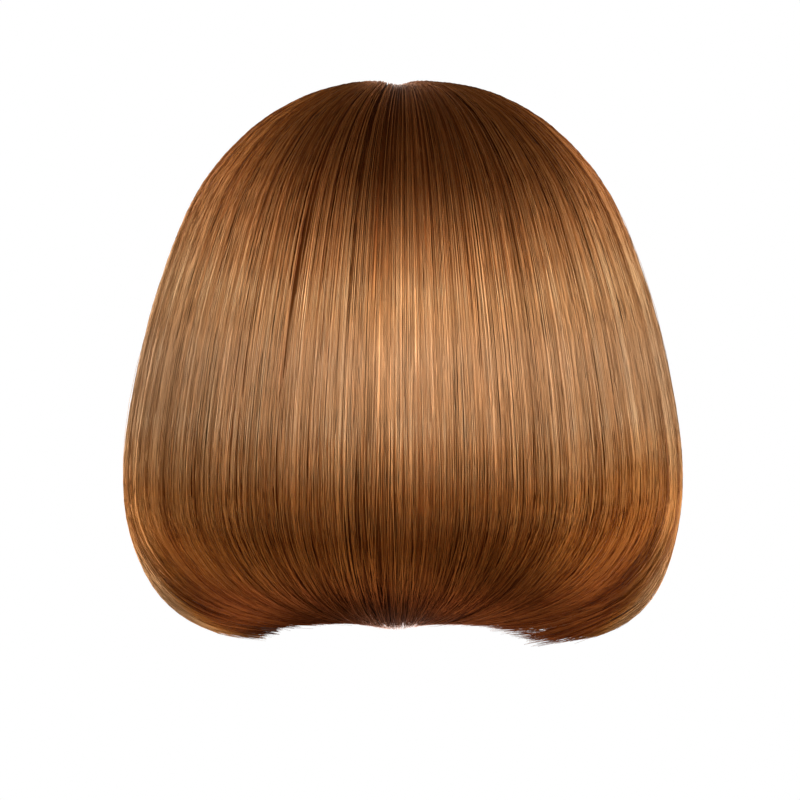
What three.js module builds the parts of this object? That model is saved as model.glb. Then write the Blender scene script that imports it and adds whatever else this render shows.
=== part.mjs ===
// Straight bob wig: a thin fabric cap, a pale parting strip and four sections of hair made of locks.
// Millimetres, +Z up. The wearer faces +Y and has +X on the right hand.
// The origin is the inside top of the cap, where the crown of the head bears.
import * as THREE from "three";

// The head that the cap is cut for: half sizes of a rounded block whose top is at the origin
const HEAD_HALF_WIDTH = 76;
const HEAD_HALF_LENGTH = 96;
const HEAD_HALF_HEIGHT = 100;
const HEAD_SQUARENESS = 2.5;

// Cap
const CAP_WALL = 1.6;
const CAP_COLUMNS = 40;
const CAP_ROWS = 12;
// How far the cap reaches below the origin, by the angle from straight back
const CAP_RIM = [
  { angle: 0, reach: 150 },
  { angle: 40, reach: 146 },
  { angle: 70, reach: 122 },
  { angle: 90, reach: 106 },
  { angle: 104, reach: 100 },
  { angle: 120, reach: 76 },
  { angle: 131, reach: 52 },
  { angle: 146, reach: 36 },
  { angle: 180, reach: 34 },
];

// Gaps that keep the pieces apart
const HAIR_TO_CAP = 1.4;
const HAIR_TO_HAIR = 0.4;
const LAYER_TO_LAYER = 1.5;
const STRIP_TO_CAP = 0.35;

// Parting, a little left of the middle, from its end at the crown to the front hairline
const PARTING_OFFSET = -5;
const PARTING_BACK = -18;
const PARTING_FRONT = 79;
const STRIP_HALF_WIDTH = 2;
const STRIP_WALL = 1;
const STRIP_END_GAP = 1;
const STRIP_STEPS = 16;

// Outside of the hair, from the root beside the parting to the turned-in tips
const HAIR_TOP = 11;
const HAIR_SECTIONS = [
  { drop: 1.2, halfWidth: 2.4, back: 18 },
  { drop: 0.4, halfWidth: 12, back: 27 },
  { drop: 2.2, halfWidth: 29, back: 42 },
  { drop: 7.5, halfWidth: 45.5, back: 56 },
  { drop: 21, halfWidth: 67, back: 76 },
  { drop: 47, halfWidth: 89.5, back: 97 },
  { drop: 87, halfWidth: 106.5, back: 112 },
  { drop: 127, halfWidth: 117, back: 120 },
  { drop: 166, halfWidth: 122.8, back: 122 },
  { drop: 193, halfWidth: 121.4, back: 118.5 },
  { drop: 218, halfWidth: 112.5, back: 108 },
  { drop: 233, halfWidth: 100, back: 95 },
  { drop: 242, halfWidth: 83, back: 80 },
  { drop: 245.5, halfWidth: 63, back: 66 },
];
const FRONT_REACH = 94;
const FRONT_TIP_SHARE = 0.78;
const FRONT_TIP_SPREAD = 15;
const FRONT_ROOT_LIFT = 5;
const FACE_EDGE_ANGLE = 138;
const BACK_EDGE_ANGLE = 62;
const FRONT_SPREAD_END = 0.55;
const FOREHEAD_FALL_START = 0.2;
const FOREHEAD_FALL_END = 0.9;
const PARTING_DIP = 2.5;
const PARTING_DIP_WIDTH = 5;
const PARTING_DIP_END = 0.2;
const PARTING_OFFSET_END = 0.12;
const TIP_TURN_START = 0.75;
const RIGHT_TIP_FULLNESS = 9;
const RIGHT_TIP_START = 0.72;
const RIGHT_TIP_END_ANGLE = 125;
const NAPE_LIFT = 13;
const NAPE_LIFT_START = 0.72;
const NAPE_LIFT_FULL_ANGLE = 20;
const NAPE_LIFT_END_ANGLE = 90;

// Depth of the hair, measured in from the outside
const CROWN_DEPTH = 24;
const HANGING_DEPTH = 14;
const TIP_DEPTH = 4;
const HANGING_START = 0.3;
const HANGING_FULL = 0.55;
const TIP_START = 0.84;
const LEAST_DEPTH = 2;

// Locks: rounded ridges along the hair, each with a tip of its own length
const LOCK_COLUMNS = 4;
const LOCK_ROUNDNESS = 0.7;
const LOCK_RIDGE = 1.1;
const LOCK_TIP_RIDGE = 2.4;
const GROOVE_FULL = 0.3;
const LOCK_TIP_NOTCH = 0.022;
const INNER_TIP_NOTCH = 0.5;
const LOCK_TIP_STAGGER = 0.012;
const LOCK_TIP_TURN = 2.4;
const LOCK_SWAY = 0.27;
const LOCK_SWAY_TURN = 1.9;
const HAIR_ROWS = 20;
const SIDE_LOCKS = 7;
const BACK_LOCKS = 12;

// Under layer at the nape, by its edges, its start and end along the hair and its own depth
const NAPE_EDGE_ANGLE = 100;
const NAPE_START = 0.57;
const NAPE_END = 0.94;
const NAPE_DEPTH = 10;
const NAPE_ROWS = 9;
const NAPE_LOCKS = 14;

// Finishes
const HAIR_COLOUR = 0x8a5a30;
const UNDER_HAIR_COLOUR = 0x5c3516;
const CAP_COLOUR = 0x4a3524;
const STRIP_COLOUR = 0xe6c3a8;
const HAIR_ROUGHNESS = 0.45;
const FABRIC_ROUGHNESS = 0.85;

const { degToRad, lerp, smoothstep } = THREE.MathUtils;

// A smooth value from a table of rows, read by the angle column on either side of the back
function rimReach(azimuth) {
  const angle = Math.abs(THREE.MathUtils.euclideanModulo(azimuth + 180, 360) - 180);
  const next = Math.max(1, CAP_RIM.findIndex((row) => row.angle >= angle));
  const [low, high] = [CAP_RIM[next - 1], CAP_RIM[next]];
  return lerp(low.reach, high.reach, smoothstep(angle, low.angle, high.angle));
}

// A point of the head's surface, grown by a wall: azimuth in degrees from straight back, tilt from the top
function headPoint(azimuth, tilt, grown) {
  const round = 2 / HEAD_SQUARENESS;
  const across = Math.sin(tilt) ** round;
  const cosine = Math.cos(tilt);
  const up = Math.sign(cosine) * Math.abs(cosine) ** round;
  const turn = degToRad(azimuth);
  return new THREE.Vector3(
    (HEAD_HALF_WIDTH + grown) * across * Math.sin(turn),
    -(HEAD_HALF_LENGTH + grown) * across * Math.cos(turn),
    (HEAD_HALF_HEIGHT + grown) * up - HEAD_HALF_HEIGHT,
  );
}

// True for a point that lies inside the head once it is grown by a wall
function insideHead(point, grown) {
  const x = point.x / (HEAD_HALF_WIDTH + grown);
  const y = point.y / (HEAD_HALF_LENGTH + grown);
  const z = (point.z + HEAD_HALF_HEIGHT) / (HEAD_HALF_HEIGHT + grown);
  return Math.hypot(x, y) ** HEAD_SQUARENESS + Math.abs(z) ** HEAD_SQUARENESS < 1;
}

// Height of the grown head's surface above or below the origin on the middle plane
function headTop(y, grown) {
  const along = Math.abs(y) / (HEAD_HALF_LENGTH + grown);
  const up = (1 - along ** HEAD_SQUARENESS) ** (1 / HEAD_SQUARENESS);
  return (HEAD_HALF_HEIGHT + grown) * up - HEAD_HALF_HEIGHT;
}

const hairProfile = new THREE.CatmullRomCurve3(
  HAIR_SECTIONS.map((row) => new THREE.Vector3(row.halfWidth, row.back, -row.drop)),
);

// The smooth outside of the hair: azimuth in degrees from straight back, along from 0 at the root to 1
function hairSurface(azimuth, along) {
  const section = hairProfile.getPointAt(THREE.MathUtils.clamp(along, 0, 1));
  const turn = degToRad(azimuth);
  const out = section.x * Math.sin(turn);
  const rightBack = smoothstep(azimuth, 0, 90) - smoothstep(azimuth, 90, RIGHT_TIP_END_ANGLE);
  const fuller = RIGHT_TIP_FULLNESS * rightBack * smoothstep(along, RIGHT_TIP_START, 1);
  const x = out + fuller + PARTING_OFFSET * (1 - smoothstep(along, 0, PARTING_OFFSET_END));
  const valley = Math.exp(-((out / PARTING_DIP_WIDTH) ** 2)) * (1 - smoothstep(along, 0, PARTING_DIP_END));
  const z = HAIR_TOP + section.z - PARTING_DIP * valley;
  if (Math.abs(azimuth) <= 90) {
    const atNape = 1 - smoothstep(Math.abs(azimuth), NAPE_LIFT_FULL_ANGLE, NAPE_LIFT_END_ANGLE);
    const lift = NAPE_LIFT * atNape * smoothstep(along, NAPE_LIFT_START, 1);
    return new THREE.Vector3(x, -section.y * Math.cos(turn), z + lift);
  }
  const forward = (Math.abs(azimuth) - 90) / (FACE_EDGE_ANGLE - 90);
  const rootY = (PARTING_FRONT + FRONT_ROOT_LIFT) * forward;
  const tipTurn = smoothstep(along, TIP_TURN_START, 1);
  const spread = Math.sign(azimuth) * FRONT_TIP_SPREAD * forward * tipTurn;
  const ringY = -FRONT_REACH * Math.cos(turn) * lerp(1, FRONT_TIP_SHARE, tipTurn);
  const y = lerp(rootY, ringY, smoothstep(along, 0, FRONT_SPREAD_END));
  const falling = 1 - smoothstep(along, FOREHEAD_FALL_START, FOREHEAD_FALL_END);
  const fall = headTop(PARTING_FRONT * forward, 0) * falling;
  return new THREE.Vector3(x + spread, y, z + fall);
}

// Directions at a point of the outside: along the azimuth, and in towards the head
function hairDirections(azimuth, along) {
  const [turnStep, alongStep] = [0.5, 0.004];
  const low = Math.max(along - alongStep, 0);
  const high = Math.min(along + alongStep, 1);
  const around = hairSurface(azimuth + turnStep, along)
    .sub(hairSurface(azimuth - turnStep, along))
    .normalize();
  const down = hairSurface(azimuth, high).sub(hairSurface(azimuth, low)).normalize();
  return { around, inward: around.clone().cross(down).normalize() };
}

// How deep the hair can reach from a point before it comes to the cap
function depthToCap(start, inward, wanted) {
  const step = 0.1;
  let depth = 0;
  while (depth < wanted) {
    const probe = start.clone().addScaledVector(inward, depth + step);
    if (insideHead(probe, CAP_WALL + HAIR_TO_CAP)) break;
    depth += step;
  }
  return Math.max(Math.min(depth, wanted), LEAST_DEPTH);
}

function outerDepth(along) {
  const hanging = lerp(CROWN_DEPTH, HANGING_DEPTH, smoothstep(along, HANGING_START, HANGING_FULL));
  return lerp(hanging, TIP_DEPTH, smoothstep(along, TIP_START, 1));
}

// A closed solid through loops of points that run out along one side and back along the other.
// Its two sides are cut on like diagonals, so that solids side by side follow one seam.
function loftSolid(rows) {
  const [outCount, inCount] = [rows[0].out.length, rows[0].in.length];
  const size = outCount + inCount;
  const position = rows.flatMap((row) => [...row.out, ...row.in].flatMap((p) => p.toArray()));
  const index = [];
  for (let r = 0; r + 1 < rows.length; r += 1) {
    for (let c = 0; c < size; c += 1) {
      const [a, b] = [r * size + c, r * size + ((c + 1) % size)];
      const [aNext, bNext] = [a + size, b + size];
      const farSide = c === outCount - 1;
      index.push(...(farSide ? [a, aNext, bNext, a, bNext, b] : [a, aNext, b, b, aNext, bNext]));
    }
  }
  const closeEnd = (base, flipped) => {
    let [o, i] = [0, size - 1];
    while (o < outCount - 1 || i > outCount) {
      const outShare = o / (outCount - 1);
      const inShare = (size - 1 - i) / (inCount - 1);
      const outNext = i === outCount || (o < outCount - 1 && outShare <= inShare);
      const corner = outNext ? o + 1 : i - 1;
      const face = [base + o, base + corner, base + i];
      index.push(...(flipped ? face.reverse() : face));
      if (outNext) o += 1;
      else i -= 1;
    }
  };
  closeEnd(0, false);
  closeEnd((rows.length - 1) * size, true);
  const geometry = new THREE.BufferGeometry();
  geometry.setAttribute("position", new THREE.Float32BufferAttribute(position, 3));
  geometry.setIndex(index);
  geometry.computeVertexNormals();
  return geometry;
}

// A run of locks between two azimuths, from one depth to another below the outside of the hair
function hairSection({ from, to, locks, start = 0, end = 1, rows = HAIR_ROWS, outer, inner }) {
  const columns = locks * LOCK_COLUMNS;
  const lockEdge = (lock) =>
    lock % locks === 0 ? lock : lock + LOCK_SWAY * Math.sin(LOCK_SWAY_TURN * (lock + from));
  const place = (column, row, face) => {
    const lock = Math.min(Math.floor(column / LOCK_COLUMNS), locks - 1);
    const across = column / LOCK_COLUMNS - lock;
    const azimuth = lerp(from, to, lerp(lockEdge(lock), lockEdge(lock + 1), across) / locks);
    const shift = (HAIR_TO_HAIR / 2) * ((column === 0) - (column === columns));
    const ridge = Math.sin(Math.PI * across) ** LOCK_ROUNDNESS;
    const reach = row / rows;
    const stagger = LOCK_TIP_STAGGER * ridge * (Math.sin(LOCK_TIP_TURN * (lock + from)) - 1);
    const notch = LOCK_TIP_NOTCH * (face === "out" ? 1 - ridge : INNER_TIP_NOTCH);
    const along = lerp(start, end + stagger - notch, reach);
    const { around, inward } = hairDirections(azimuth, along);
    const groove = lerp(LOCK_RIDGE, LOCK_TIP_RIDGE, along) * (1 - ridge) * smoothstep(reach, 0, GROOVE_FULL);
    const skin = hairSurface(azimuth, along);
    const deepest = depthToCap(skin, inward, inner(along));
    const depth = face === "out" ? Math.min(outer(along) + groove, deepest - LEAST_DEPTH) : deepest;
    return skin.addScaledVector(inward, depth).addScaledVector(around, shift);
  };
  const loops = [];
  for (let row = 0; row <= rows; row += 1) {
    const side = (step, face) =>
      Array.from({ length: columns / step + 1 }, (_, c) => place(c * step, row, face));
    loops.push({ out: side(1, "out"), in: side(2, "in").reverse() });
  }
  return loftSolid(loops);
}

function capGeometry() {
  const position = [];
  const index = [];
  const ring = CAP_COLUMNS;
  for (const grown of [CAP_WALL, 0]) {
    position.push(...headPoint(0, 0, grown).toArray());
    for (let row = 1; row <= CAP_ROWS; row += 1) {
      for (let column = 0; column < ring; column += 1) {
        const azimuth = (360 * column) / ring;
        const rimUp = (HEAD_HALF_HEIGHT - rimReach(azimuth)) / HEAD_HALF_HEIGHT;
        const rimTilt = Math.acos(Math.sign(rimUp) * Math.abs(rimUp) ** (HEAD_SQUARENESS / 2));
        position.push(...headPoint(azimuth, (rimTilt * row) / CAP_ROWS, grown).toArray());
      }
    }
  }
  const sheet = 1 + CAP_ROWS * ring;
  const at = (face, row, column) => face * sheet + 1 + (row - 1) * ring + (column % ring);
  const add = (face, a, b, c) => index.push(...(face ? [a, c, b] : [a, b, c]));
  for (let column = 0; column < ring; column += 1) {
    for (const face of [0, 1]) {
      add(face, face * sheet, at(face, 1, column), at(face, 1, column + 1));
      for (let row = 1; row < CAP_ROWS; row += 1) {
        add(face, at(face, row, column), at(face, row + 1, column), at(face, row, column + 1));
        add(face, at(face, row, column + 1), at(face, row + 1, column), at(face, row + 1, column + 1));
      }
    }
    const [outA, outB] = [at(0, CAP_ROWS, column), at(0, CAP_ROWS, column + 1)];
    const [inA, inB] = [at(1, CAP_ROWS, column), at(1, CAP_ROWS, column + 1)];
    index.push(outA, inA, outB, outB, inA, inB);
  }
  const geometry = new THREE.BufferGeometry();
  geometry.setAttribute("position", new THREE.Float32BufferAttribute(position, 3));
  geometry.setIndex(index);
  geometry.computeVertexNormals();
  return geometry;
}

function partingStripGeometry() {
  const rows = [];
  const floor = CAP_WALL + STRIP_TO_CAP;
  for (let step = 0; step <= STRIP_STEPS; step += 1) {
    const y = lerp(PARTING_BACK + STRIP_END_GAP, PARTING_FRONT, step / STRIP_STEPS);
    const edge = (side, grown) =>
      new THREE.Vector3(PARTING_OFFSET + side * STRIP_HALF_WIDTH, y, headTop(y, grown));
    const top = [edge(1, floor + STRIP_WALL), edge(-1, floor + STRIP_WALL)];
    const bottom = [edge(-1, floor), edge(1, floor)];
    rows.push({ out: top, in: bottom });
  }
  return loftSolid(rows);
}

function piece(name, geometry, color, roughness) {
  const material = new THREE.MeshStandardMaterial({ color, roughness, metalness: 0 });
  const mesh = new THREE.Mesh(geometry, material);
  mesh.name = name;
  return mesh;
}

const outside = () => 0;
const underOutside = (along) => outerDepth(along) + LAYER_TO_LAYER;
const underInside = (along) => underOutside(along) + NAPE_DEPTH;

const wig = new THREE.Group();
wig.add(piece("cap", capGeometry(), CAP_COLOUR, FABRIC_ROUGHNESS));
wig.add(piece("parting_strip", partingStripGeometry(), STRIP_COLOUR, FABRIC_ROUGHNESS));
const topSections = [
  { name: "left_hair", from: -FACE_EDGE_ANGLE, to: -BACK_EDGE_ANGLE, locks: SIDE_LOCKS },
  { name: "back_hair", from: -BACK_EDGE_ANGLE, to: BACK_EDGE_ANGLE, locks: BACK_LOCKS },
  { name: "right_hair", from: BACK_EDGE_ANGLE, to: FACE_EDGE_ANGLE, locks: SIDE_LOCKS },
];
for (const { name, ...run } of topSections) {
  const geometry = hairSection({ ...run, outer: outside, inner: outerDepth });
  wig.add(piece(name, geometry, HAIR_COLOUR, HAIR_ROUGHNESS));
}
const napeGeometry = hairSection({
  from: -NAPE_EDGE_ANGLE,
  to: NAPE_EDGE_ANGLE,
  locks: NAPE_LOCKS,
  start: NAPE_START,
  end: NAPE_END,
  rows: NAPE_ROWS,
  outer: underOutside,
  inner: underInside,
});
wig.add(piece("nape_hair", napeGeometry, UNDER_HAIR_COLOUR, HAIR_ROUGHNESS));

export default wig;
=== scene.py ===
import math

import bmesh
import bpy
import numpy as np
from bpy.props import FloatProperty, FloatVectorProperty, IntProperty, PointerProperty
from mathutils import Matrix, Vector


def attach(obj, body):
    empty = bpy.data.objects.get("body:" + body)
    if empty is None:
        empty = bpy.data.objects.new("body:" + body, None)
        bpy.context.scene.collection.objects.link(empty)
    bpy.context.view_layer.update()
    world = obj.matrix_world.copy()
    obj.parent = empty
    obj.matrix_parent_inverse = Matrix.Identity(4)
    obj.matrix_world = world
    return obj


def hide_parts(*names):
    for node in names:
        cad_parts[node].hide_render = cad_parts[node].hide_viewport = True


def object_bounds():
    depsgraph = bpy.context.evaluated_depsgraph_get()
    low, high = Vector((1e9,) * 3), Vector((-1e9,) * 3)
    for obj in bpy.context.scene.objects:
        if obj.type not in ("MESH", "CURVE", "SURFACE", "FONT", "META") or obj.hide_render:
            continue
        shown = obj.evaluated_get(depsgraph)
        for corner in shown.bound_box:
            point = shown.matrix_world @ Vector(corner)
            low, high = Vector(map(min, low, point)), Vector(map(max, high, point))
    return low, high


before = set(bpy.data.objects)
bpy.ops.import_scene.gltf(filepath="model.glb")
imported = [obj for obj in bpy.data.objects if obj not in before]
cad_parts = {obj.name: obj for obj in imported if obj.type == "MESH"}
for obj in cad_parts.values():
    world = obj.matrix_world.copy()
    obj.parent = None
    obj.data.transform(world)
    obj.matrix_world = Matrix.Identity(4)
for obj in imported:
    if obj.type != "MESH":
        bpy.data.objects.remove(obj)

bl_info = {
    "name": "Bob Wig",
    "version": (1, 0, 0),
    "blender": (4, 5, 0),
    "location": "View3D > Sidebar > Wig",
    "description": "Dresses a straight bob wig with strands, a cloth cap and a parting",
    "category": "Object",
}

CAD_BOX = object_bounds()
MM = 0.001
BODY = "root"
BAKE_MAP = "OFBake"
TINY = 1e-12

# The head that the cap is cut for, in millimetres, with its top at the origin
HEAD_HALF_WIDTH = 76
HEAD_HALF_LENGTH = 96
HEAD_HALF_HEIGHT = 100
HEAD_SQUARENESS = 2.5
CAP_WALL = 1.6
# How far the cap reaches below the origin, by the angle from straight back
CAP_RIM = (
    # angle, reach
    (0, 150),
    (40, 146),
    (70, 122),
    (90, 106),
    (104, 100),
    (120, 76),
    (131, 52),
    (146, 36),
    (180, 34),
)

# Outside of the hair, in millimetres, from the root beside the parting to the turned-in tips
HAIR_TOP = 11
HAIR_SECTIONS = (
    # drop, half width, back
    (1.2, 2.4, 18),
    (0.4, 12, 27),
    (2.2, 29, 42),
    (7.5, 45.5, 56),
    (21, 67, 76),
    (47, 89.5, 97),
    (87, 106.5, 112),
    (127, 117, 120),
    (166, 122.8, 122),
    (193, 121.4, 118.5),
    (218, 112.5, 108),
    (233, 100, 95),
    (242, 83, 80),
    (245.5, 63, 66),
)
# Angles round the head are azimuths in degrees from straight back, positive to the right.
# Places along the hair are shares of its length, from 0 at the parting to 1 at the tips.
SIDE_ANGLE = 90
FACE_EDGE_ANGLE = 138
BACK_EDGE_ANGLE = 62
NAPE_EDGE_ANGLE = 100
SECTION_OVERLAP = 2
FINE_SPREAD = 26
PARTING_FRONT = 79
FRONT_REACH = 94
FRONT_TIP_SHARE = 0.78
FRONT_TIP_SPREAD = 15
FRONT_ROOT_LIFT = 5
FRONT_SPREAD_END = 0.55
FOREHEAD_FALL = (0.2, 0.9)
PARTING_DIP = 2.5
PARTING_DIP_WIDTH = 5
PARTING_DIP_END = 0.2
PARTING_OFFSET = -5
PARTING_OFFSET_END = 0.12
TIP_TURN_START = 0.75
RIGHT_TIP_FULLNESS = 9
RIGHT_TIP_START = 0.72
RIGHT_TIP_END_ANGLE = 125
NAPE_LIFT = 13
NAPE_LIFT_START = 0.72
NAPE_LIFT_ANGLES = (20, 90)
# Steps round and along the hair from which its slope is taken
SLOPE_ANGLE = 0.5
SLOPE_ALONG = 0.004

# Depth of the hair in from its outside, in millimetres, and where it changes along the hair
CROWN_DEPTH = 24
HANGING_DEPTH = 14
TIP_DEPTH = 4
HANGING_RUN = (0.3, 0.55)
TIP_RUN = (0.84, 1.0)
HAIR_TO_CAP = 1.4
LAYER_TO_LAYER = 1.5
NAPE_DEPTH = 10
PROBE_STEP = 0.5

# Clumps of strands: number and width at least, drift round the head, and how closely they gather
LEAST_CLUMPS = 4
LEAST_CLUMP_WIDTH = 0.3
CLUMP_TURNS = (0.6, 1.6)
CLUMP_DRIFT = 0.16
DRIFT_RUN = (0.02, 0.5)
FULL_GATHER = 0.6
GATHER_LEAST = 0.4
GATHER_SPREAD = 0.6
GATHER_RUN = (0.3, 1.0)
# Roots and tips: how uneven they are, and the share of strands that are shorter
PARTING_ROOT_RUN = 0.012
CLUMP_TIP_UNEVEN = 0.010
STRAND_TIP_UNEVEN = 0.012
NAPE_CENTRE_WIDTH = 16
NAPE_CENTRE_EVENNESS = 0.75
SHORT_SHARE = 0.08
SHORT_BY = 0.16
LEAST_LENGTH = 0.2
TIP_PAST_END = 0.006
# Sway of a single strand in degrees, and its turns along the hair
STRAND_TURNS = (0.3, 1.1)
ROOT_SWAY = 0.12
SWAY_RUN = (0.6, 1.0)
# Band along the face edge in which strands fill the thickness of the hair
FACE_EDGE_BAND = 2.5
# Tips at the nape are drawn together: where they meet, and how loosely
NAPE_MEETING = -3
CLUMP_MEETING_SPREAD = 2.0
STRAND_MEETING_SPREAD = 1.5
NAPE_PULL_RUN = (0.70, 1.0)
NAPE_PULL_ANGLES = (65, 105)
# The tips behind the right cheek and in the middle of the nape hang a little lower, in millimetres
RIGHT_TIP_DROP = 6
RIGHT_TIP_DROP_ANGLE = 50
RIGHT_TIP_DROP_WIDTH = 18
NAPE_MIDDLE_DROP = 2.2
NAPE_MIDDLE_WIDTH = 8
TIP_DROP_RUN = (0.86, 1.0)
# Depth of the strands below the faces of the hair, in millimetres: clumps lie at steps and are round
OUTER_GAP = 0.2
OUTER_LAYERS = 2.2
INNER_GAP = 0.3
INNER_LAYERS = 1.6
LEAST_THICKNESS = 0.6
CLUMP_STEP = 1.1
PARTED_SHARES = (0.4, 1.0)
PARTED_RUN = (0.45, 0.85)
PARTING_RISE = 0.07
ROOT_RISE = 0.18
# Loose strands, which stand off the hair for a stretch, and wisps at the tips, in millimetres
LOOSE_LIFT_LEAST = 0.2
LOOSE_LIFT_SPREAD = 1.1
LOOSE_STARTS = (0.2, 0.85)
LOOSE_RISE_END = 0.12
LOOSE_FALL_START = 0.14
LOOSE_FALL_END = 0.4
WISP_SPREAD = 0.9
WISP_RUN = (0.86, 1.0)
STRAND_REACH = 0.2
LOOSE_REACH = 3.6
# Tone of the strands, from 0 for the darkest to 1 for the lightest; deep strands and a clump's sides
# are darker, as painted shade
MIDDLE_TONE = 0.54
CLUMP_TONE = 0.11
STRAND_TONE = 0.18
DEEP_PAINTED_SHADE = 0.16
MIDDLE_LAYER = 0.35
CLUMP_SIDE_PAINTED_SHADE = 0.12
LOOSE_TONE = 0.12
TONE_LIMITS = (0.03, 0.97)
# Thickness of the strands, as shares of the usual radius, and how far round their tubes are turned
RADIUS_LEAST = 0.7
RADIUS_SPREAD = 0.6
LOOSE_RADIUS = 0.55
FINE_RADIUS = 0.75
TIP_THINNING = 0.65
TIP_THINNING_RUN = 0.09
TUBE_TURN = 0.6
# Shading runs along the hair, as painted light: it is ahead at the sides of the crown, a painted
# highlight, and inside the right corner, painted shade where the turn is darker, and behind at the side
# tips, a painted rim light that is paler
SIDE_CROWN_PAINTED_HIGHLIGHT = 0.03
SIDE_CROWN_ANGLES = (25, 60)
SIDE_CROWN_RISE = (0.15, 0.30)
SIDE_CROWN_FALL = (0.42, 0.52)
RIGHT_TURN_PAINTED_SHADE = 0.03
RIGHT_TURN_ANGLE = 54
RIGHT_TURN_WIDTH = 11
RIGHT_TURN_RISE = (0.58, 0.68)
RIGHT_TURN_FALL = (0.78, 0.88)
SIDE_TIP_PAINTED_RIM_LIGHT = 0.25
SIDE_TIP_ANGLES = (53, 71)
SIDE_TIP_RUN = (0.69, 0.90)

# Strand mesh: corners round each strand, and how much its points crowd at bends and at the root
STRAND_SIDES = 3
BEND_WEIGHT = 1.2
ROOT_WEIGHT = 0.15
ROOT_RUN = 0.08
TONE_WIDTH = 0.012
# Where the bake map turns from strands, which have their tone there, to the base under them
BASE_MAP_START = 0.5
BASE_MAP_RANGE = (0.51, 0.99)
# Seeds of the random draws, one for each piece of strands
SEEDS = {
    "left_hair_strands": 11,
    "right_hair_strands": 12,
    "back_hair_under_strands": 21,
    "back_hair_top_strands": 22,
    "back_hair_fine_strands": 23,
    "nape_hair_strands": 31,
}

# Fibre: its colour along the hair, mostly painted light: a near-white painted highlight band at
# mid-length, and darker roots and tips that are partly their own colour and partly painted shade; and
# how even its tones are there
HAIR_COLOURS_AND_PAINTED_LIGHT = (
    # place along the hair, colour
    (0.0, (0.42, 0.23, 0.105)),
    (0.20, (0.52, 0.28, 0.115)),
    (0.32, (0.58, 0.335, 0.155)),
    (0.39, (0.63, 0.42, 0.245)),
    (0.43, (0.76, 0.59, 0.41)),
    (0.48, (0.90, 0.84, 0.72)),
    (0.55, (0.96, 0.98, 1.0)),
    (0.61, (0.97, 0.95, 0.90)),
    (0.66, (0.96, 0.79, 0.57)),
    (0.70, (0.92, 0.62, 0.31)),
    (0.75, (0.66, 0.35, 0.12)),
    (0.85, (0.43, 0.175, 0.062)),
    (1.0, (0.48, 0.19, 0.07)),
)
EVENNESS = ((0.0, 0.2), (0.38, 0.2), (0.46, 0.6), (0.52, 1), (0.58, 1), (0.67, 0.3))
UNEVEN_CONTRAST = 2.1
EVENED_CONTRAST = 1.45
TONE_CENTRE = 0.5
UNDER_HAIR_GREYS = ((0.0, 0.5), (0.6, 0.55), (1.0, 0.6))
FIBRE_GLOSS = {"Specular IOR Level": 0.4, "Specular Tint": (1, 0.9, 0.8, 1)}
# Streaks on the base under the strands, at a low tone so that the base is dark: painted shade in the
# gaps between strands
STREAK_STRETCH = (520, 5, 1)
STREAK_DETAIL = 3
STREAK_FLOOR = 0.35
STREAK_GAIN = 0.9
STREAK_BUMP = 0.6
STREAK_RELIEF = 0.0006

# Cloth: edges that are rounded, and the step round the hem in degrees
SHARP_ANGLE = math.radians(60)
HEM_STEP = 5
# Knit: form, shade and relief of its stitches, unevenness of its colour, and its soft surface
STITCH_FORM = {"Randomness": 0.85, "Smoothness": 0.3}
STITCH_SHADE = 0.5
STITCH_BUMP = 0.8
STITCH_RELIEF = 0.4
CLOUD_SCALE = 60
CLOUD_DETAIL = 4
KNIT_LIGHT_PLACE = 0.5
KNIT_SURFACE = {"Roughness": 0.85, "Sheen Weight": 0.25, "Sheen Roughness": 0.5}

# Stage: the middle of the picture, in metres, the floor, and the sensor in millimetres
AIM = Vector((-0.0013, 0, -0.1289))
FLOOR_SURFACE = {
    "Base Color": (0.86, 0.86, 0.85, 1),
    "Roughness": 0.9,
    "Emission Color": (1, 1, 0.99, 1),
    "Emission Strength": 0.62,
}
SENSOR_WIDTH = 36
# Soft lights, with their distance and size in metres and the setting of their power
LIGHTS = (
    # name, azimuth, elevation, distance, size, power
    ("key_light", 7, 20, 1.9, (2.0, 1.25), "key_power"),
    ("back_light", 180, -4, 1.9, (2.6, 1.6), "back_power"),
    ("low_light", -60, -65, 1.5, (1.4, 1.0), "low_power"),
    ("left_light", -126, 4, 1.7, (1.2, 2.3), "rim_power"),
    ("right_light", 130, 4, 1.7, (1.2, 2.3), "rim_power"),
)
# Light of the surroundings, from straight below to straight above, and from the sides to the front
SURROUND_BY_HEIGHT = ((0.0, 0.12), (0.40, 0.15), (0.52, 0.25), (0.64, 0.20), (1.0, 0.05))
SURROUND_BY_FRONT = ((0.0, 0.3), (0.3, 0.3), (0.8, 1.0))


def smoothstep(value, low, high):
    """Smooth rise from 0 at low to 1 at high."""
    share = np.clip((value - low) / (high - low), 0, 1)
    return share * share * (3 - 2 * share)


def hump(value, rise, fall):
    """Smooth rise from 0 to 1 over one run, and back to 0 over another."""
    return smoothstep(value, *rise) - smoothstep(value, *fall)


def bell(value, centre, width):
    """Bell curve of height 1 about a centre."""
    return np.exp(-(((value - centre) / width) ** 2))


def mix(low, high, share):
    """Straight blend from low to high."""
    return low + (high - low) * share


def unit(vectors):
    """Vectors along the last axis, each at length 1."""
    return vectors / np.maximum(np.linalg.norm(vectors, axis=-1, keepdims=True), TINY)


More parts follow.
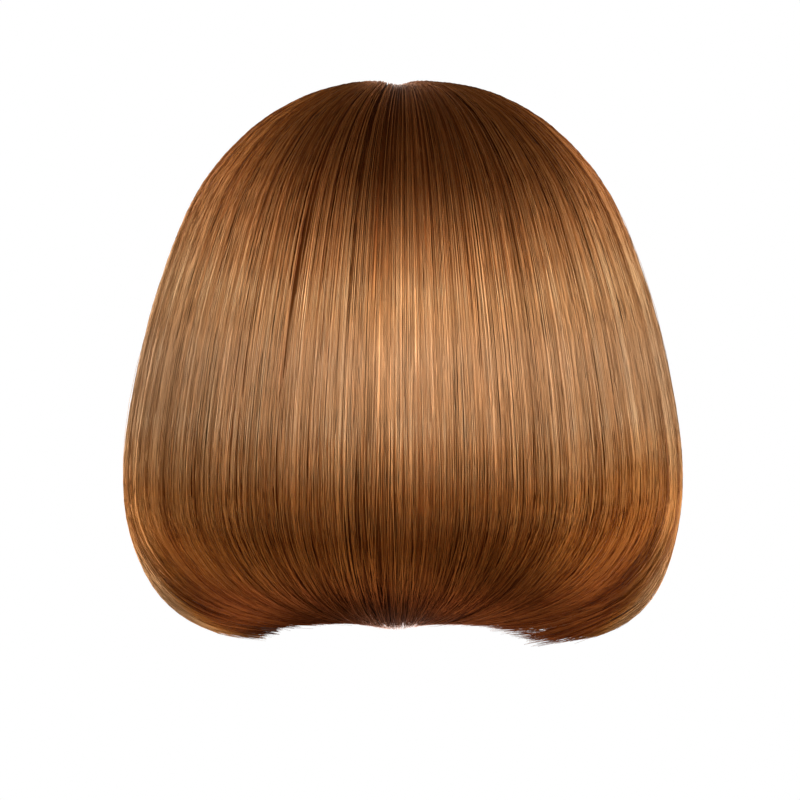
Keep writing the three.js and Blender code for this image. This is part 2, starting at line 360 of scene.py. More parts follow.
def profile_samples(steps=60):
    """Points of the centripetal curve through the hair sections, and their share of its length."""
    table = np.array([(half_width, back, -drop) for drop, half_width, back in HAIR_SECTIONS], float)
    before = 2 * table[0] - table[1]
    after = 2 * table[-1] - table[-2]
    knots = np.vstack([before, table, after])
    share = np.linspace(0, 1, steps, endpoint=False)[:, None]
    runs = []
    for first in range(len(table) - 1):
        p0, p1, p2, p3 = knots[first:first + 4]
        d0, d1, d2 = (np.linalg.norm(b - a) ** 0.5 for a, b in ((p0, p1), (p1, p2), (p2, p3)))
        start = ((p1 - p0) / d0 - (p2 - p0) / (d0 + d1) + (p2 - p1) / d1) * d1
        end = ((p2 - p1) / d1 - (p3 - p1) / (d1 + d2) + (p3 - p2) / d2) * d1
        square = 3 * (p2 - p1) - 2 * start - end
        cube = 2 * (p1 - p2) + start + end
        runs.append(p1 + start * share + square * share**2 + cube * share**3)
    points = np.vstack([*runs, table[-1:]])
    lengths = np.concatenate([[0], np.cumsum(np.linalg.norm(np.diff(points, axis=0), axis=1))])
    return points, lengths / lengths[-1]


PROFILE, PROFILE_SHARE = profile_samples()


def bend_samples():
    """A measure along the hair that grows faster where it bends and at the root, from 0 to 1."""
    steps = unit(np.diff(PROFILE[:, [0, 2]], axis=0))
    turns = np.arccos(np.clip(np.sum(steps[1:] * steps[:-1], axis=1), -1, 1))
    bend = np.concatenate([[0, 0], np.cumsum(turns)])
    root = ROOT_WEIGHT * smoothstep(PROFILE_SHARE, 0, ROOT_RUN)
    measure = PROFILE_SHARE + BEND_WEIGHT * bend / bend[-1] + root
    return measure / measure[-1]


BEND_SHARE = bend_samples()


def head_top(y, grown):
    """Height of the head's surface on the middle plane, once it is grown by a wall."""
    along = np.abs(y) / (HEAD_HALF_LENGTH + grown)
    up = (1 - along**HEAD_SQUARENESS) ** (1 / HEAD_SQUARENESS)
    return (HEAD_HALF_HEIGHT + grown) * up - HEAD_HALF_HEIGHT


def inside_head(points, grown):
    """Which points lie inside the head, once it is grown by a wall."""
    x = points[..., 0] / (HEAD_HALF_WIDTH + grown)
    y = points[..., 1] / (HEAD_HALF_LENGTH + grown)
    z = (points[..., 2] + HEAD_HALF_HEIGHT) / (HEAD_HALF_HEIGHT + grown)
    return np.hypot(x, y) ** HEAD_SQUARENESS + np.abs(z) ** HEAD_SQUARENESS < 1


def hair_surface(azimuth, along):
    """Points of the hair's outside, in millimetres."""
    share = np.clip(along, 0, 1)
    half_width, back, height = (np.interp(share, PROFILE_SHARE, PROFILE[:, i]) for i in range(3))
    turn = np.radians(azimuth)
    out = half_width * np.sin(turn)
    right_back = hump(azimuth, (0, SIDE_ANGLE), (SIDE_ANGLE, RIGHT_TIP_END_ANGLE))
    fuller = RIGHT_TIP_FULLNESS * right_back * smoothstep(along, RIGHT_TIP_START, 1)
    x = out + fuller + PARTING_OFFSET * (1 - smoothstep(along, 0, PARTING_OFFSET_END))
    valley = bell(out, 0, PARTING_DIP_WIDTH) * (1 - smoothstep(along, 0, PARTING_DIP_END))
    z = HAIR_TOP + height - PARTING_DIP * valley
    # The back is lifted at the nape
    lift = NAPE_LIFT * (1 - smoothstep(np.abs(azimuth), *NAPE_LIFT_ANGLES))
    lift = lift * smoothstep(along, NAPE_LIFT_START, 1)
    # The front starts along the parting, falls over the forehead's side and spreads at the tips
    forward = np.clip((np.abs(azimuth) - SIDE_ANGLE) / (FACE_EDGE_ANGLE - SIDE_ANGLE), 0, 1)
    root_y = (PARTING_FRONT + FRONT_ROOT_LIFT) * forward
    tip_turn = smoothstep(along, TIP_TURN_START, 1)
    spread = np.sign(azimuth) * FRONT_TIP_SPREAD * forward * tip_turn
    ring_y = -FRONT_REACH * np.cos(turn) * mix(1, FRONT_TIP_SHARE, tip_turn)
    front_y = mix(root_y, ring_y, smoothstep(along, 0, FRONT_SPREAD_END))
    fall = head_top(PARTING_FRONT * forward, 0) * (1 - smoothstep(along, *FOREHEAD_FALL))
    is_back = np.abs(azimuth) <= SIDE_ANGLE
    y = np.where(is_back, -back * np.cos(turn), front_y)
    z = np.where(is_back, z + lift, z + fall)
    return np.stack([x + spread, y, z], axis=-1)


def hair_inward(azimuth, along):
    """Directions from the hair's outside in towards the head."""
    low = np.clip(along - SLOPE_ALONG, 0, 1)
    high = np.clip(along + SLOPE_ALONG, 0, 1)
    around = hair_surface(azimuth + SLOPE_ANGLE, along) - hair_surface(azimuth - SLOPE_ANGLE, along)
    down = hair_surface(azimuth, high) - hair_surface(azimuth, low)
    return unit(np.cross(unit(around), unit(down)))


def layer_depth(along):
    """Depth of the top layer's inner face below the hair's outside."""
    hanging = mix(CROWN_DEPTH, HANGING_DEPTH, smoothstep(along, *HANGING_RUN))
    return mix(hanging, TIP_DEPTH, smoothstep(along, *TIP_RUN))


def depth_to_cap(skin, inward, wanted):
    """Depth that hair can reach from its outside before it comes to the cap."""
    depth = np.zeros(wanted.shape)
    free = np.ones(wanted.shape, bool)
    for step in np.arange(PROBE_STEP, CROWN_DEPTH + PROBE_STEP, PROBE_STEP):
        probe = skin + inward * step
        free &= ~inside_head(probe, CAP_WALL + HAIR_TO_CAP) & (step <= wanted)
        depth = np.where(free, step, depth)
    return depth


class Strands:
    """The strands of one section of the hair, worked out step by step from its settings."""

    def __init__(self, rng, count, section):
        self.rng = rng
        self.count = count
        self.section = section
        low, high = section["edges"]
        self.azimuth = mix(low, high, (np.arange(count) + rng.random(count)) / count)
        self.set_clumps()
        self.set_ends()
        self.set_layers()
        self.set_steps()
        self.set_path()
        self.set_points()
        self.set_tone()
        self.set_tube()
        self.set_shade()

    def set_clumps(self):
        """Clumps of neighbouring strands, which share a tone, a tip, a drift and a depth."""
        rng = self.rng
        low, high = self.section["edges"]
        self.clumps = max(LEAST_CLUMPS, int(abs(high - low) / self.section["clump_angle"]))
        edges = np.sort(rng.uniform(low, high, self.clumps - 1))
        bounds = np.concatenate([[low], edges, [high]])
        self.clump = np.searchsorted(edges, self.azimuth)
        self.clump_centre = ((bounds[:-1] + bounds[1:]) / 2)[self.clump]
        width = np.maximum((bounds[1:] - bounds[:-1])[self.clump], LEAST_CLUMP_WIDTH)
        self.off_centre = np.clip(2 * (self.azimuth - self.clump_centre) / width, -1, 1)
        self.clump_tone = rng.normal(0, 1, self.clumps)[self.clump]
        self.clump_tip = rng.normal(0, 1, self.clumps)[self.clump]
        self.clump_phase = rng.uniform(0, 2 * np.pi, self.clumps)[self.clump]
        self.clump_turns = rng.uniform(*CLUMP_TURNS, self.clumps)[self.clump]
        self.clump_depth = rng.random(self.clumps)[self.clump]

    def set_ends(self):
        """Roots, some in the parting and the rest spread over the cap, and uneven tips."""
        rng, section, count = self.rng, self.section, self.count
        start, end = section["run"]
        self.at_parting = rng.random(count) < section["parting_share"]
        spread_root = start + (section["root_end"] - start) * np.sqrt(rng.random(count))
        parting_root = start + PARTING_ROOT_RUN * rng.random(count)
        self.root = np.where(self.at_parting, parting_root, spread_root)
        at_centre = bell(self.azimuth, 0, NAPE_CENTRE_WIDTH)
        uneven = CLUMP_TIP_UNEVEN * self.clump_tip + STRAND_TIP_UNEVEN * rng.normal(0, 1, count)
        uneven = uneven * (1 - NAPE_CENTRE_EVENNESS * at_centre)
        tip = end + uneven - section["tip_short"] * (1 - at_centre)
        is_short = rng.random(count) < SHORT_SHARE
        tip = np.where(is_short, tip - SHORT_BY * rng.random(count), tip)
        self.tip = np.clip(tip, self.root + LEAST_LENGTH, min(end + TIP_PAST_END, 1.0))

    def set_layers(self):
        """Where each strand lies between the outer face, at 0, and the inner face, at 1."""
        rng, section, count = self.rng, self.section, self.count
        kind = rng.random(count)
        between = np.where(kind < section["inner_share"], 1.0, 0.0)
        self.at_edge = kind > 1 - section["edge_share"]
        self.between = np.where(self.at_edge, rng.random(count), between)
        self.is_inner = self.between > 0.5
        edge = max(section["edges"], key=abs)
        edge_azimuth = edge - np.sign(edge) * FACE_EDGE_BAND * rng.random(count) ** 2
        self.azimuth = np.where(self.at_edge, edge_azimuth, self.azimuth)
        self.layer = mix(*section["layers"], rng.random(count))

    def set_steps(self):
        """Places of each strand's points along the hair, closer together where it bends."""
        rings = self.section["points"]
        shift = (self.rng.random(self.count) - 0.5)[:, None] / rings
        step = np.linspace(0, 1, rings)[None, :] + shift
        step[:, 0] = 0
        step[:, -1] = 1
        bend_root = np.interp(self.root, PROFILE_SHARE, BEND_SHARE)[:, None]
        bend_tip = np.interp(self.tip, PROFILE_SHARE, BEND_SHARE)[:, None]
        self.along = np.interp(mix(bend_root, bend_tip, step), BEND_SHARE, PROFILE_SHARE)

    def set_path(self):
        """Azimuth at each point: gathered into clumps, swaying, and drawn together at the nape."""
        rng, section, count, along = self.rng, self.section, self.count, self.along
        closeness = (GATHER_LEAST + GATHER_SPREAD * rng.random(count))[:, None]
        gather = section["gather"] * closeness * smoothstep(along, *GATHER_RUN)
        drift_angle = 2 * np.pi * self.clump_turns[:, None] * along + self.clump_phase[:, None]
        drift = CLUMP_DRIFT * np.sin(drift_angle)
        phase = rng.uniform(0, 2 * np.pi, count)[:, None]
        turns = rng.uniform(*STRAND_TURNS, count)[:, None]
        sway = mix(ROOT_SWAY, section["tip_sway"], smoothstep(along, *SWAY_RUN))
        sway = sway * np.sin(2 * np.pi * turns * along + phase)
        from_centre = (self.azimuth - self.clump_centre)[:, None] * ~self.at_edge[:, None]
        path = self.azimuth[:, None] - gather * from_centre
        path = path + (drift + sway) * smoothstep(along, *DRIFT_RUN)
        meeting = NAPE_MEETING + rng.normal(0, CLUMP_MEETING_SPREAD, self.clumps)[self.clump]
        meeting = meeting + rng.normal(0, STRAND_MEETING_SPREAD, count)
        pull = section["nape_pull"] * smoothstep(along, *NAPE_PULL_RUN)
        pull = pull * (1 - smoothstep(np.abs(path), *NAPE_PULL_ANGLES))
        path = path + pull * (meeting[:, None] - path)
        face_edge = (np.sign(self.azimuth) * FACE_EDGE_ANGLE)[:, None]
        self.path = np.where(np.abs(path) > FACE_EDGE_ANGLE, face_edge, path)

    def set_points(self):
        """Points in metres, at their depth below the hair's outside, and the way out of the hair."""
        skin = hair_surface(self.path, self.along)
        right = bell(self.path, RIGHT_TIP_DROP_ANGLE, RIGHT_TIP_DROP_WIDTH)
        middle = bell(self.path, NAPE_MEETING, NAPE_MIDDLE_WIDTH)
        drop = RIGHT_TIP_DROP * right + NAPE_MIDDLE_DROP * middle
        skin[..., 2] -= drop * smoothstep(self.along, *TIP_DROP_RUN)
        inward = hair_inward(self.path, self.along)
        depth = self.face_depth(skin, inward) + self.root_sink() - self.loose_lift()
        wisp = self.rng.normal(0, WISP_SPREAD, self.count)[:, None] * smoothstep(self.along, *WISP_RUN)
        reach = np.where(self.is_loose, LOOSE_REACH, STRAND_REACH)[:, None]
        depth = np.maximum(depth + wisp, -reach)
        self.points = (skin + inward * depth[..., None]) * MM
        self.outward = -inward * np.where(self.is_inner, -1, 1)[:, None, None]

    def face_depth(self, skin, inward):
        """Depth of the strands where they lie along the outer or the inner face of the section."""
        section, along, layer = self.section, self.along, self.layer[:, None]
        outer_face = section["outer"](along)
        inner_face = depth_to_cap(skin, inward, section["inner"](along))
        parted = mix(*PARTED_SHARES, smoothstep(along, *PARTED_RUN)) * section["gather"] / FULL_GATHER
        outer = outer_face + OUTER_GAP + OUTER_LAYERS * layer
        outer = outer + CLUMP_STEP * parted * self.clump_depth[:, None]
        outer = outer + parted * (self.off_centre**2)[:, None]
        inner = np.maximum(inner_face - INNER_GAP - INNER_LAYERS * layer, outer_face + LEAST_THICKNESS)
        return mix(outer, inner, self.between[:, None])

    def root_sink(self):
        """How much deeper the outer strands lie at their roots."""
        rise = np.where(self.at_parting, PARTING_RISE, ROOT_RISE)[:, None]
        section = self.section
        sink = np.where(self.at_parting, section["parting_sink"], section["root_sink"])[:, None]
        sunk = sink * (1 - smoothstep(self.along - self.root[:, None], 0, rise))
        return np.where(self.is_inner[:, None], 0, sunk)

    def loose_lift(self):
        """How far the loose strands stand off the hair, for a stretch of their length."""
        rng, count = self.rng, self.count
        self.is_loose = (rng.random(count) < self.section["loose_share"]) & ~self.is_inner
        lift = (LOOSE_LIFT_LEAST + LOOSE_LIFT_SPREAD * rng.random(count)) * self.is_loose
        start = rng.uniform(*LOOSE_STARTS, count)[:, None]
        rise = (start, start + LOOSE_RISE_END)
        fall = (start + LOOSE_FALL_START, start + LOOSE_FALL_END)
        return lift[:, None] * hump(self.along, rise, fall)

    def set_tone(self):
        """Tone by clump and by strand: painted shade deep down and at a clump's sides, lighter where
        loose.
        """
        own = STRAND_TONE * self.rng.normal(0, 1, self.count)
        tone = MIDDLE_TONE + CLUMP_TONE * self.clump_tone + own
        tone = tone - DEEP_PAINTED_SHADE * (self.layer - MIDDLE_LAYER)
        tone = tone - CLUMP_SIDE_PAINTED_SHADE * self.off_centre**2 * self.section["gather"] / FULL_GATHER
        tone = np.where(self.is_loose, tone + LOOSE_TONE, tone) + self.section["lighter"]
        self.tone = np.clip(tone, *TONE_LIMITS)

    def set_tube(self):
        """Radius at each point, thinner towards the tip, and how far round the tube is turned."""
        own = (RADIUS_LEAST + RADIUS_SPREAD * self.rng.random(self.count))[:, None]
        radius = self.section["radius"] * own
        radius = np.where(self.is_loose[:, None], LOOSE_RADIUS * radius, radius)
        tip = self.tip[:, None]
        self.radius = radius * (1 - TIP_THINNING * smoothstep(self.along, tip - TIP_THINNING_RUN, tip))
        self.turned = self.rng.uniform(-TUBE_TURN, TUBE_TURN, self.count)

    def set_shade(self):
        """Place along the hair from which each point takes its colour, shifted to paint a highlight at
        the crown's sides, shade inside the right corner and a rim light at the side tips.
        """
        along = self.along
        crown = SIDE_CROWN_PAINTED_HIGHLIGHT * smoothstep(np.abs(self.azimuth), *SIDE_CROWN_ANGLES)[:, None]
        tips = SIDE_TIP_PAINTED_RIM_LIGHT * smoothstep(np.abs(self.path), *SIDE_TIP_ANGLES)
        right_turn = bell(self.path, RIGHT_TURN_ANGLE, RIGHT_TURN_WIDTH)
        right_turn = right_turn * hump(along, RIGHT_TURN_RISE, RIGHT_TURN_FALL)
        shade = along + crown * hump(along, SIDE_CROWN_RISE, SIDE_CROWN_FALL)
        shade = shade - tips * smoothstep(along, *SIDE_TIP_RUN)
        self.shade = shade + RIGHT_TURN_PAINTED_SHADE * right_turn


def strand_arrays(strands):
    """Vertices, quads, end triangles and UVs of closed tubes along the strands."""
    points = strands.points
    count, rings = points.shape[:2]
    tangent = unit(np.gradient(points, axis=1))
    out = strands.outward
    out = unit(out - tangent * np.sum(out * tangent, axis=-1, keepdims=True))
    side = np.cross(tangent, out)
    corner = 2 * np.pi * np.arange(STRAND_SIDES) / STRAND_SIDES
    angle = strands.turned[:, None] + corner[None, :]
    ring = out[:, :, None, :] * np.cos(angle)[:, None, :, None]
    ring = ring + side[:, :, None, :] * np.sin(angle)[:, None, :, None]
    places = points[:, :, None, :] + ring * strands.radius[:, :, None, None]
    vertices = places.reshape(-1, 3)
    strand = np.arange(count)[:, None, None] * rings * STRAND_SIDES
    row = np.arange(rings - 1)[None, :, None] * STRAND_SIDES
    here = np.arange(STRAND_SIDES)[None, None, :]
    after = (here + 1) % STRAND_SIDES
    a = strand + row + here
    b = strand + row + after
    quads = np.stack([a, b, b + STRAND_SIDES, a + STRAND_SIDES], axis=-1).reshape(-1, 4)
    root = strand[:, 0] + np.arange(STRAND_SIDES)[::-1][None, :]
    tip = strand[:, 0] + (rings - 1) * STRAND_SIDES + np.arange(STRAND_SIDES)[None, :]
    triangles = np.vstack([root, tip])
    tone = strands.tone[:, None, None] + TONE_WIDTH * (np.arange(STRAND_SIDES) - 1)[None, None, :]
    tone = np.broadcast_to(tone, places.shape[:3]).reshape(-1)
    shade = np.broadcast_to(strands.shade[:, :, None], places.shape[:3]).reshape(-1)
    return vertices, quads, triangles, np.stack([BASE_MAP_START * tone, shade], axis=-1)


def merged_solid(node):
    """A working copy of a solid, with the corners of its triangles merged."""
    work = bmesh.new()
    work.from_mesh(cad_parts[node].data)
    bmesh.ops.remove_doubles(work, verts=work.verts, dist=1e-6)
    return work


def base_arrays(node, inset):
    """Vertices, triangles and UVs of a copy of a hair solid, set in under its strands."""
    work = merged_solid(node)
    work.normal_update()
    vertices = np.array([tuple(vert.co - vert.normal * inset) for vert in work.verts])
    work.verts.index_update()
    triangles = np.array([[vert.index for vert in face.verts] for face in work.faces])
    work.free()
    drop = HAIR_TOP - vertices[:, 2] / MM
    along = np.interp(drop, -PROFILE[:, 2], PROFILE_SHARE)
    around = np.arctan2(np.abs(vertices[:, 0]), -vertices[:, 1]) / np.pi
    return vertices, triangles, np.stack([mix(*BASE_MAP_RANGE, around), along], axis=-1)


def link_object(name, data):
    """An object for some data, linked into the scene."""
    piece = bpy.data.objects.new(name, data)
    bpy.context.scene.collection.objects.link(piece)
    return piece


def mesh_object(name, vertices, quads, triangles, uv):
    """A smooth mesh object from arrays, with its UVs in the bake map."""
    mesh = bpy.data.meshes.new(name)
    mesh.vertices.add(len(vertices))
    mesh.vertices.foreach_set("co", vertices.astype(np.float32).ravel())
    corners = np.concatenate([quads.ravel(), triangles.ravel()]).astype(np.int32)
    starts = np.concatenate([4 * np.arange(len(quads)), 4 * len(quads) + 3 * np.arange(len(triangles))])
    mesh.loops.add(len(corners))
    mesh.loops.foreach_set("vertex_index", corners)
    mesh.polygons.add(len(starts))
    mesh.polygons.foreach_set("loop_start", starts.astype(np.int32))
    layer = mesh.uv_layers.new(name=BAKE_MAP)
    layer.data.foreach_set("uv", uv[corners].astype(np.float32).ravel())
    mesh.update(calc_edges=True)
    mesh.validate()
    mesh.shade_smooth()
    return link_object(name, mesh)


def finish_piece(piece, node, material):
    """Give a piece its material, attach it to the body, and hide the solid that it stands for."""
    piece.data.materials.append(material)
    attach(piece, BODY)
    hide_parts(node)


def hair_piece(name, node, count, section, material, with_base):
    """One piece of hair that stands for a hair solid: strands, and the base under them."""
    rng = np.random.default_rng(SEEDS[name])
    vertices, quads, triangles, uv = strand_arrays(Strands(rng, count, section))
    if with_base:
        base, faces, base_uv = base_arrays(node, section["base_inset"] * MM)
        triangles = np.vstack([triangles, faces + len(vertices)])
        vertices = np.vstack([vertices, base])
        uv = np.vstack([uv, base_uv])
    piece = mesh_object(name, vertices, quads, triangles, uv)
    finish_piece(piece, node, material)


def grey_stops(table):
    """Stops of a colour ramp from a table of places and grey values."""
    return [(place, (value, value, value)) for place, value in table]


def new_material(name):
    """A fresh node material, its node tree and its Principled shader."""
    material = bpy.data.materials.new(name)
    material.use_nodes = True
    tree = material.node_tree
    return material, tree, tree.nodes["Principled BSDF"]


def set_inputs(tree, node, inputs):
    """Set a node's inputs to constants, or link them to sockets."""
    for name, value in inputs.items():
        if isinstance(value, bpy.types.NodeSocket):
            tree.links.new(value, node.inputs[name])
        else:
            node.inputs[name].default_value = value


def add_node(tree, kind, inputs):
    """A shader node of a kind, with its inputs set or linked."""
    node = tree.nodes.new(f"ShaderNode{kind}")
    set_inputs(tree, node, inputs)
    return node


def ramp(tree, stops, value):
    """A colour ramp through (position, colour) stops, read at a value socket."""
    node = add_node(tree, "ValToRGB", {"Fac": value})
    node.color_ramp.interpolation = "EASE"
    elements = node.color_ramp.elements
    while len(elements) < len(stops):
        elements.new(0.5)
    for element, (position, colour) in zip(elements, stops):
        element.position = position
        element.color = (*colour, 1)
    return node.outputs["Color"]


def multiply(tree, first, second):
    """Product of two colour sockets."""
    node = tree.nodes.new("ShaderNodeMix")
    node.data_type = "RGBA"
    node.blend_type = "MULTIPLY"
    set_inputs(tree, node, {"Factor": 1, "A": first, "B": second})
    return node.outputs["Result"]


def math_node(tree, operation, first, second):
    """Result of a Math node on two sockets or plain numbers."""
    node = add_node(tree, "Math", {0: first, 1: second})
    node.operation = operation
    return node.outputs["Value"]


def noise_texture(tree, place, scale, detail):
    """Value of a noise texture at a place socket."""
    noise = add_node(tree, "TexNoise", {"Vector": place, "Scale": scale, "Detail": detail})
    return noise.outputs["Fac"]


def relief(tree, height, strength, distance, invert=False):
    """Normal of a surface whose relief comes from a height socket."""
    bump = add_node(tree, "Bump", {"Height": height, "Strength": strength, "Distance": distance})
    bump.invert = invert
    return bump.outputs["Normal"]


def hair_material(name, tones, lengths, hair):
    """Hair fibre: a tone for each strand, a colour along its length, which in the top sections is
    mostly painted highlight and painted shade, and streaks on the base.
    """
    material, tree, shader = new_material(name)
    source = tree.nodes.new("ShaderNodeUVMap")
    source.uv_map = BAKE_MAP
    place = source.outputs["UV"]
    split = add_node(tree, "SeparateXYZ", {"Vector": place})
    across = split.outputs["X"]
    along = split.outputs["Y"]
    strand_tone = math_node(tree, "DIVIDE", across, BASE_MAP_START)
    is_base = math_node(tree, "GREATER_THAN", across, BASE_MAP_START)
    stretch = add_node(tree, "Mapping", {"Vector": place, "Scale": STREAK_STRETCH})
    streaks = noise_texture(tree, stretch.outputs["Vector"], 1, STREAK_DETAIL)
    # The base's low tone is painted shade between the strands
    base_tone = math_node(tree, "SUBTRACT", streaks, STREAK_FLOOR)
    base_tone = math_node(tree, "MULTIPLY", base_tone, STREAK_GAIN)
    choice = add_node(tree, "Mix", {"Factor": is_base, "A": strand_tone, "B": base_tone})
    evened = math_node(tree, "MULTIPLY", ramp(tree, grey_stops(EVENNESS), along), EVENED_CONTRAST)
    contrast = math_node(tree, "SUBTRACT", UNEVEN_CONTRAST, evened)
    tone = math_node(tree, "SUBTRACT", choice.outputs["Result"], TONE_CENTRE)
    tone = math_node(tree, "MULTIPLY", tone, contrast)
    tone = math_node(tree, "ADD", tone, TONE_CENTRE)
    height = math_node(tree, "MULTIPLY", streaks, is_base)
    set_inputs(tree, shader, {
        "Base Color": multiply(tree, ramp(tree, tones, tone), ramp(tree, lengths, along)),
        "Normal": relief(tree, height, STREAK_BUMP, STREAK_RELIEF),
        "Metallic": hair.metal_share,
        "Roughness": hair.roughness,
        **FIBRE_GLOSS,
    })
    return material


def setting(name, description, default, kind=FloatProperty, **options):
    """A setting that is one number."""
    return kind(name=name, description=description, default=default, **options)


def colour_setting(name, description, default):
    """A setting that is a colour."""
    return FloatVectorProperty(name=name, description=description, default=default, subtype="COLOR")


class WigHairSettings(bpy.types.PropertyGroup):
    """Sizes, numbers and colours of the hair."""

    strand_radius: setting(
        "Strand Radius",
        "Radius of one modelled strand, which stands for a few hairs",
        0.00021,
        unit="LENGTH",
    )
    back_strands: setting("Back Strands", "Strands on the outside of the back", 1400, kind=IntProperty)
    under_strands: setting(
        "Under Strands", "Strands that fill the back under its top strands", 1800, kind=IntProperty
    )
    side_strands: setting("Side Strands", "Strands on each side of the face", 1400, kind=IntProperty)
    nape_strands: setting("Nape Strands", "Strands in the under layer", 1150, kind=IntProperty)
    fine_strands: setting(
        "Fine Strands", "Thin strands that lie loosely over the back", 900, kind=IntProperty
    )
    clump_angle: setting("Clump Angle", "Usual width of a clump, in degrees round the head", 2.2)
    roughness: setting("Roughness", "Roughness of the fibre", 0.38, subtype="FACTOR")
    metal_share: setting(
        "Tinted Gloss", "Share of the gloss that takes the hair's colour", 0.85, subtype="FACTOR"
    )
    dark_colour: colour_setting("Dark Strands", "Colour of the darkest strands", (0.24, 0.095, 0.030))
    mid_colour: colour_setting("Brown Strands", "Colour of most strands", (0.55, 0.28, 0.125))
    light_colour: colour_setting("Light Strands", "Colour of the lightest strands", (0.80, 0.50, 0.28))


class WigClothSettings(bpy.types.PropertyGroup):
    """Sizes and colours of the cap and the parting strip."""

    cap_stitch: setting("Cap Stitch", "Size of a stitch of the cap", 0.0013, unit="LENGTH")
    strip_stitch: setting("Strip Stitch", "Size of a mesh of the parting strip", 0.0007, unit="LENGTH")
    rim_round: setting("Rim Rounding", "Rounding of the cap's rim", 0.0004, unit="LENGTH")
    strip_round: setting("Strip Rounding", "Rounding of the strip's edges", 0.0002, unit="LENGTH")
    hem_radius: setting("Hem Radius", "Radius of the rolled hem", 0.0014, unit="LENGTH")
    cap_dark: colour_setting("Cap Shade", "Colour between the cap's stitches", (0.020, 0.011, 0.006))
    cap_light: colour_setting("Cap Colour", "Colour of the cap's stitches", (0.085, 0.048, 0.026))
    strip_dark: colour_setting(
        "Strip Shade", "Colour between the threads of the strip", (0.42, 0.24, 0.17)
    )
    strip_light: colour_setting(
        "Strip Colour", "Colour of the threads of the strip", (0.78, 0.55, 0.43)
    )


class WigStageSettings(bpy.types.PropertyGroup):
    """Sizes of the stage and power of its lights."""

    floor_drop: setting("Floor Drop", "Height of the tips above the floor", 0.40, unit="LENGTH")
    floor_radius: setting("Floor Radius", "Radius of the round floor", 1.5, unit="LENGTH")
    camera_distance: setting(
        "Camera Distance", "Distance from the camera to the wig", 1.6, unit="LENGTH"
    )
    camera_height: setting(
        "Camera Height", "Angle of the camera above level", math.radians(2), subtype="ANGLE"
    )
    view_width: setting("View Width", "Width of the picture at the wig", 0.352, unit="LENGTH")
    key_power: setting("Key Power", "Power of the soft light behind the camera", 48, unit="POWER")
    back_power: setting("Back Power", "Power of the low soft light beyond the wig", 50, unit="POWER")
    low_power: setting("Low Power", "Power of the soft light from below", 6.5, unit="POWER")
    rim_power: setting("Rim Power", "Power of each tall soft light beyond the sides", 26, unit="POWER")


def shared_hair_material():
    """The material of the three top sections, made once."""
    made = bpy.data.materials.get("hair_fibre")
    if made:
        return made
    hair = bpy.context.scene.wig_hair
    tones = (
        (0.0, hair.dark_colour),
        (0.3, mix(np.array(hair.dark_colour), np.array(hair.mid_colour), 0.6)),
        (0.58, hair.mid_colour),
        (1.0, hair.light_colour),
    )
    return hair_material("hair_fibre", tones, HAIR_COLOURS_AND_PAINTED_LIGHT, hair)


def top_section(edges, hair, **changes):
    """Settings of a section of the top layer between two azimuths, with some of them changed."""
    section = {
        "edges": edges,
        "run": (0.0, 1.0),
        "root_end": 0.5,
        "root_sink": 4.6,
        "parting_sink": 4.6,
        "parting_share": 0.34,
        "inner_share": 0.06,
        "edge_share": 0.0,
        "loose_share": 0.012,
        "points": 24,
        "layers": (0.0, 1.0),
        "gather": FULL_GATHER,
        "tip_sway": 0.5,
        "tip_short": 0.016,
        "lighter": 0.0,
        "nape_pull": 0.58,
        "clump_angle": hair.clump_angle,
        "radius": hair.strand_radius,
        "base_inset": 1.6,
        "outer": lambda along: 0 * along,
        "inner": layer_depth,
    }
    section.update(changes)
    return section


class WIG_OT_side_hair(bpy.types.Operator):
    """Grow the hair on both sides of the face"""

    bl_idname = "wig.side_hair"
    bl_label = "Side Hair"

    def execute(self, context):
        hair = context.scene.wig_hair
        material = shared_hair_material()
        for node, sign in (("left_hair", -1), ("right_hair", 1)):
            section = top_section(
                sorted((sign * (BACK_EDGE_ANGLE - SECTION_OVERLAP), sign * FACE_EDGE_ANGLE)),
                hair,
                parting_share=0.45,
                parting_sink=0.6,
                inner_share=0.2,
                edge_share=0.1,
                tip_short=0.005,
            )
            hair_piece(f"{node}_strands", node, hair.side_strands, section, material, True)
        return {"FINISHED"}


class WIG_OT_back_hair(bpy.types.Operator):
    """Grow the hair that fans out of the crown and falls down the back"""

    bl_idname = "wig.back_hair"
    bl_label = "Back Hair"

    def execute(self, context):
        hair = context.scene.wig_hair
        material = shared_hair_material()
        edge = BACK_EDGE_ANGLE + SECTION_OVERLAP
        fine_edge = BACK_EDGE_ANGLE + FINE_SPREAD
        under = top_section((-edge, edge), hair, layers=(0.5, 1.0), points=12)
        top = top_section((-edge, edge), hair, layers=(0.0, 0.6), inner_share=0.0, parting_sink=1.4)
        fine = top_section(
            (-fine_edge, fine_edge),
            hair,
            layers=(0.0, 0.1),
            gather=0.0,
            tip_sway=2.6,
            loose_share=0.12,
            inner_share=0.0,
            lighter=0.1,
            radius=FINE_RADIUS * hair.strand_radius,
        )
        pieces = (
            ("back_hair_under_strands", hair.under_strands, under, True),
            ("back_hair_top_strands", hair.back_strands, top, False),
            ("back_hair_fine_strands", hair.fine_strands, fine, False),
        )
        for name, count, section, with_base in pieces:
            hair_piece(name, "back_hair", count, section, material, with_base)
        return {"FINISHED"}


